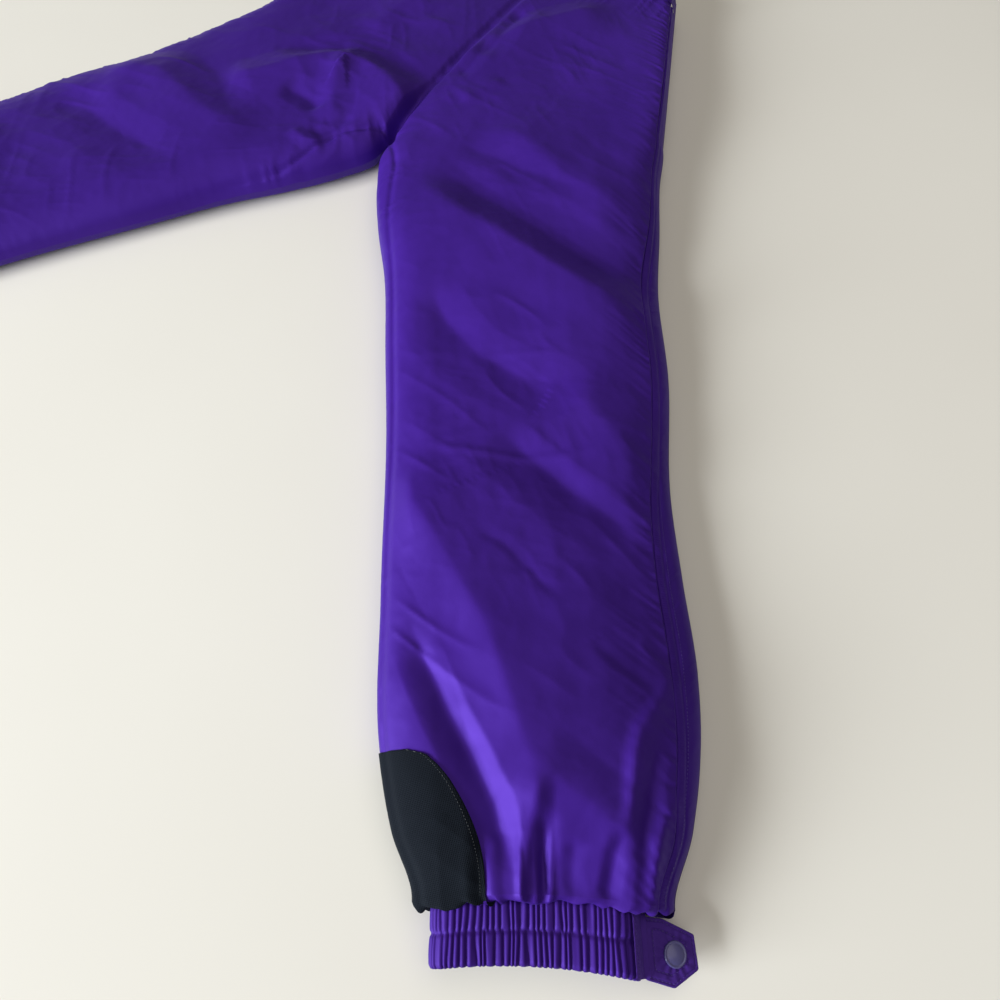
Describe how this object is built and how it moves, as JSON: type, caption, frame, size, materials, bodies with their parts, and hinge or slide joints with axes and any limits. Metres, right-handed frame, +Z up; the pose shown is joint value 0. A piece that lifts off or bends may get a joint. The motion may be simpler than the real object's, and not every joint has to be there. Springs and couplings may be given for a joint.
{
  "type": "ski pants",
  "caption": "Padded shell trousers lying flat, with side zips under plackets, a gathered elastic cuff closed by a snap tab, and a scuff guard at each inner ankle.",
  "frame": {"origin": "middle of the surface the pants lie on, at the centre of their overall outline", "axes": "+Z up through the front of the pants as they lie on their back, +Y towards the waist, +X towards the wearer's left leg"},
  "size_m": [1.1738, 0.9673, 0.0564],
  "materials": {
    "shell_nylon": "shiny tightly woven nylon",
    "cuff_nylon": "the same nylon, gathered",
    "wadding": "loose polyester fibre",
    "lining": "smooth nylon taffeta",
    "elastic": "braided elastic",
    "zip_tape": "woven tape with a nylon coil",
    "slider_metal": "enamelled die cast zinc",
    "stop_metal": "crimped metal",
    "guard_cordura": "coarse coated nylon weave",
    "snap_cap": "glossy moulded plastic",
    "snap_metal": "nickel plated"
  },
  "bodies": {
    "hips": {"left_front_panel_hip": "shell_nylon", "right_front_panel_hip": "shell_nylon", "left_back_panel_hip": "shell_nylon", "right_back_panel_hip": "shell_nylon", "hip_wadding": "wadding", "hip_lining": "lining", "front_waistband": "shell_nylon", "back_waistband": "shell_nylon", "waist_elastic": "elastic", "left_side_placket_hip": "shell_nylon", "right_side_placket_hip": "shell_nylon", "left_side_zip_hip": "zip_tape", "right_side_zip_hip": "zip_tape", "side_zip_top_stops": "stop_metal"},
    "left_thigh": {"left_front_panel_thigh": "shell_nylon", "left_back_panel_thigh": "shell_nylon", "left_thigh_wadding": "wadding", "left_thigh_lining": "lining", "left_side_placket_thigh": "shell_nylon", "left_side_zip_thigh": "zip_tape"},
    "left_shin": {"left_front_panel_shin": "shell_nylon", "left_back_panel_shin": "shell_nylon", "left_shin_wadding": "wadding", "left_shin_lining": "lining", "left_side_placket_shin": "shell_nylon", "left_side_zip_shin": "zip_tape", "left_scuff_guard": "guard_cordura", "left_cuff_casing": "cuff_nylon", "left_cuff_elastic": "elastic", "left_cuff_under_tab": "cuff_nylon", "left_cuff_snap_stud": "snap_metal"},
    "left_cuff_tab": {"left_cuff_tab": "cuff_nylon", "left_cuff_snap_cap": "snap_cap", "left_cuff_snap_socket": "snap_metal"},
    "left_zip_slider": {"left_zip_slider": "slider_metal"},
    "left_zip_pull": {"left_zip_pull": "slider_metal"},
    "right_thigh": {"right_front_panel_thigh": "shell_nylon", "right_back_panel_thigh": "shell_nylon", "right_thigh_wadding": "wadding", "right_thigh_lining": "lining", "right_side_placket_thigh": "shell_nylon", "right_side_zip_thigh": "zip_tape"},
    "right_shin": {"right_front_panel_shin": "shell_nylon", "right_back_panel_shin": "shell_nylon", "right_shin_wadding": "wadding", "right_shin_lining": "lining", "right_side_placket_shin": "shell_nylon", "right_side_zip_shin": "zip_tape", "right_scuff_guard": "guard_cordura", "right_cuff_casing": "cuff_nylon", "right_cuff_elastic": "elastic", "right_cuff_under_tab": "cuff_nylon", "right_cuff_snap_stud": "snap_metal"},
    "right_cuff_tab": {"right_cuff_tab": "cuff_nylon", "right_cuff_snap_cap": "snap_cap", "right_cuff_snap_socket": "snap_metal"},
    "right_zip_slider": {"right_zip_slider": "slider_metal"},
    "right_zip_pull": {"right_zip_pull": "slider_metal"}
  },
  "joints": [
    {"name": "left_hip_swing", "type": "hinge", "parent": "hips", "child": "left_thigh", "pos_m": [0.1415, 0.12365, 0.024], "axis": [0, 0, 1], "range_deg": [-32, 13]},
    {"name": "left_knee_fold", "type": "hinge", "parent": "left_thigh", "child": "left_shin", "pos_m": [0.29836, -0.12737, 0.053], "axis": [-0.848, -0.5299, 0], "range_deg": [0, 160]},
    {"name": "left_cuff_tab_hinge", "type": "hinge", "parent": "left_shin", "child": "left_cuff_tab", "pos_m": [0.5541, -0.40268, 0.02067], "axis": [0.5299, -0.848, 0], "range_deg": [0, 115]},
    {"name": "left_side_zip", "type": "slide", "parent": "hips", "child": "left_zip_slider", "axis": [-0.3907, 0.9205, 0], "range_m": [-0.2, 0]},
    {"name": "left_zip_pull_hinge", "type": "hinge", "parent": "left_zip_slider", "child": "left_zip_pull", "pos_m": [0.13012, 0.46516, 0.05285], "axis": [-0.9205, -0.3907, 0], "range_deg": [0, 160]},
    {"name": "right_hip_swing", "type": "hinge", "parent": "hips", "child": "right_thigh", "pos_m": [-0.1415, 0.12365, 0.024], "axis": [0, 0, 1], "range_deg": [-13, 32]},
    {"name": "right_knee_fold", "type": "hinge", "parent": "right_thigh", "child": "right_shin", "pos_m": [-0.29836, -0.12737, 0.053], "axis": [-0.848, 0.5299, 0], "range_deg": [0, 160]},
    {"name": "right_cuff_tab_hinge", "type": "hinge", "parent": "right_shin", "child": "right_cuff_tab", "pos_m": [-0.5541, -0.40268, 0.02067], "axis": [0.5299, 0.848, 0], "range_deg": [0, 115]},
    {"name": "right_side_zip", "type": "slide", "parent": "hips", "child": "right_zip_slider", "axis": [0.3907, 0.9205, 0], "range_m": [-0.2, 0]},
    {"name": "right_zip_pull_hinge", "type": "hinge", "parent": "right_zip_slider", "child": "right_zip_pull", "pos_m": [-0.13012, 0.46516, 0.05285], "axis": [-0.9205, 0.3907, 0], "range_deg": [0, 160]}
  ]
}
